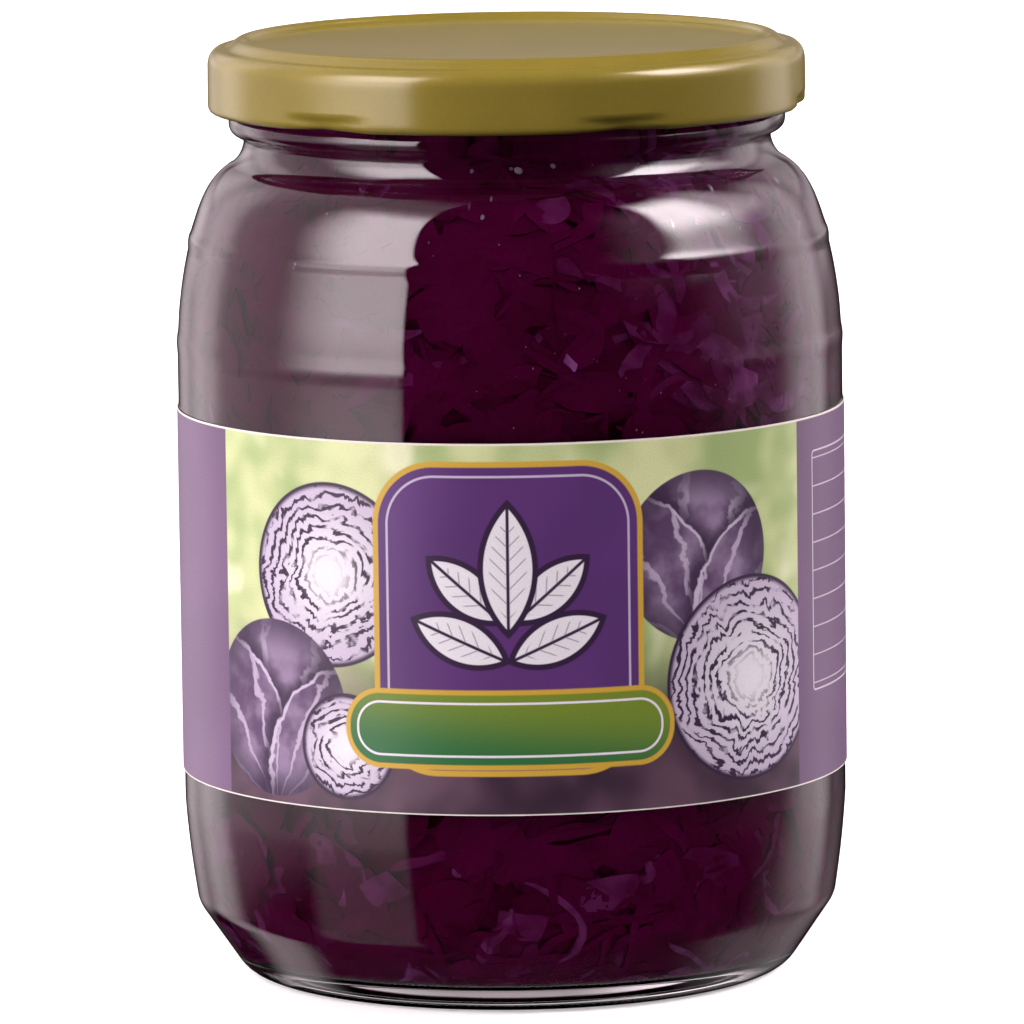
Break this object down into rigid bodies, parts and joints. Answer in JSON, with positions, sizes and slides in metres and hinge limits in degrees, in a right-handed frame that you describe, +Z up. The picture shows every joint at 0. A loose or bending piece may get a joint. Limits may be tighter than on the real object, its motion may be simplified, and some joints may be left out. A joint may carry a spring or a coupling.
{
  "type": "jar of red cabbage",
  "caption": "Shut clear glass jar packed with dark shredded red cabbage, with a gold twist-off lid and a wrap-round violet and green paper label.",
  "frame": {"origin": "centre of the jar's foot ring, on the plane it stands on", "axes": "+Z up along the jar's axis, -Y towards the middle of the label's front, +X to the label's right as read"},
  "size_m": [0.0952, 0.0952, 0.1338],
  "materials": {
    "glass": "clear, smooth, faintly grey-green in thick places",
    "gold_lacquer": "satin gold lacquer on tinplate",
    "label_paper": "coated printed paper, half gloss",
    "cabbage": "wet dark purple-red shreds in dark liquid"
  },
  "bodies": {
    "root": {"jar": "glass", "lid": "gold_lacquer", "label": "label_paper", "cabbage": "cabbage"}
  },
  "joints": []
}
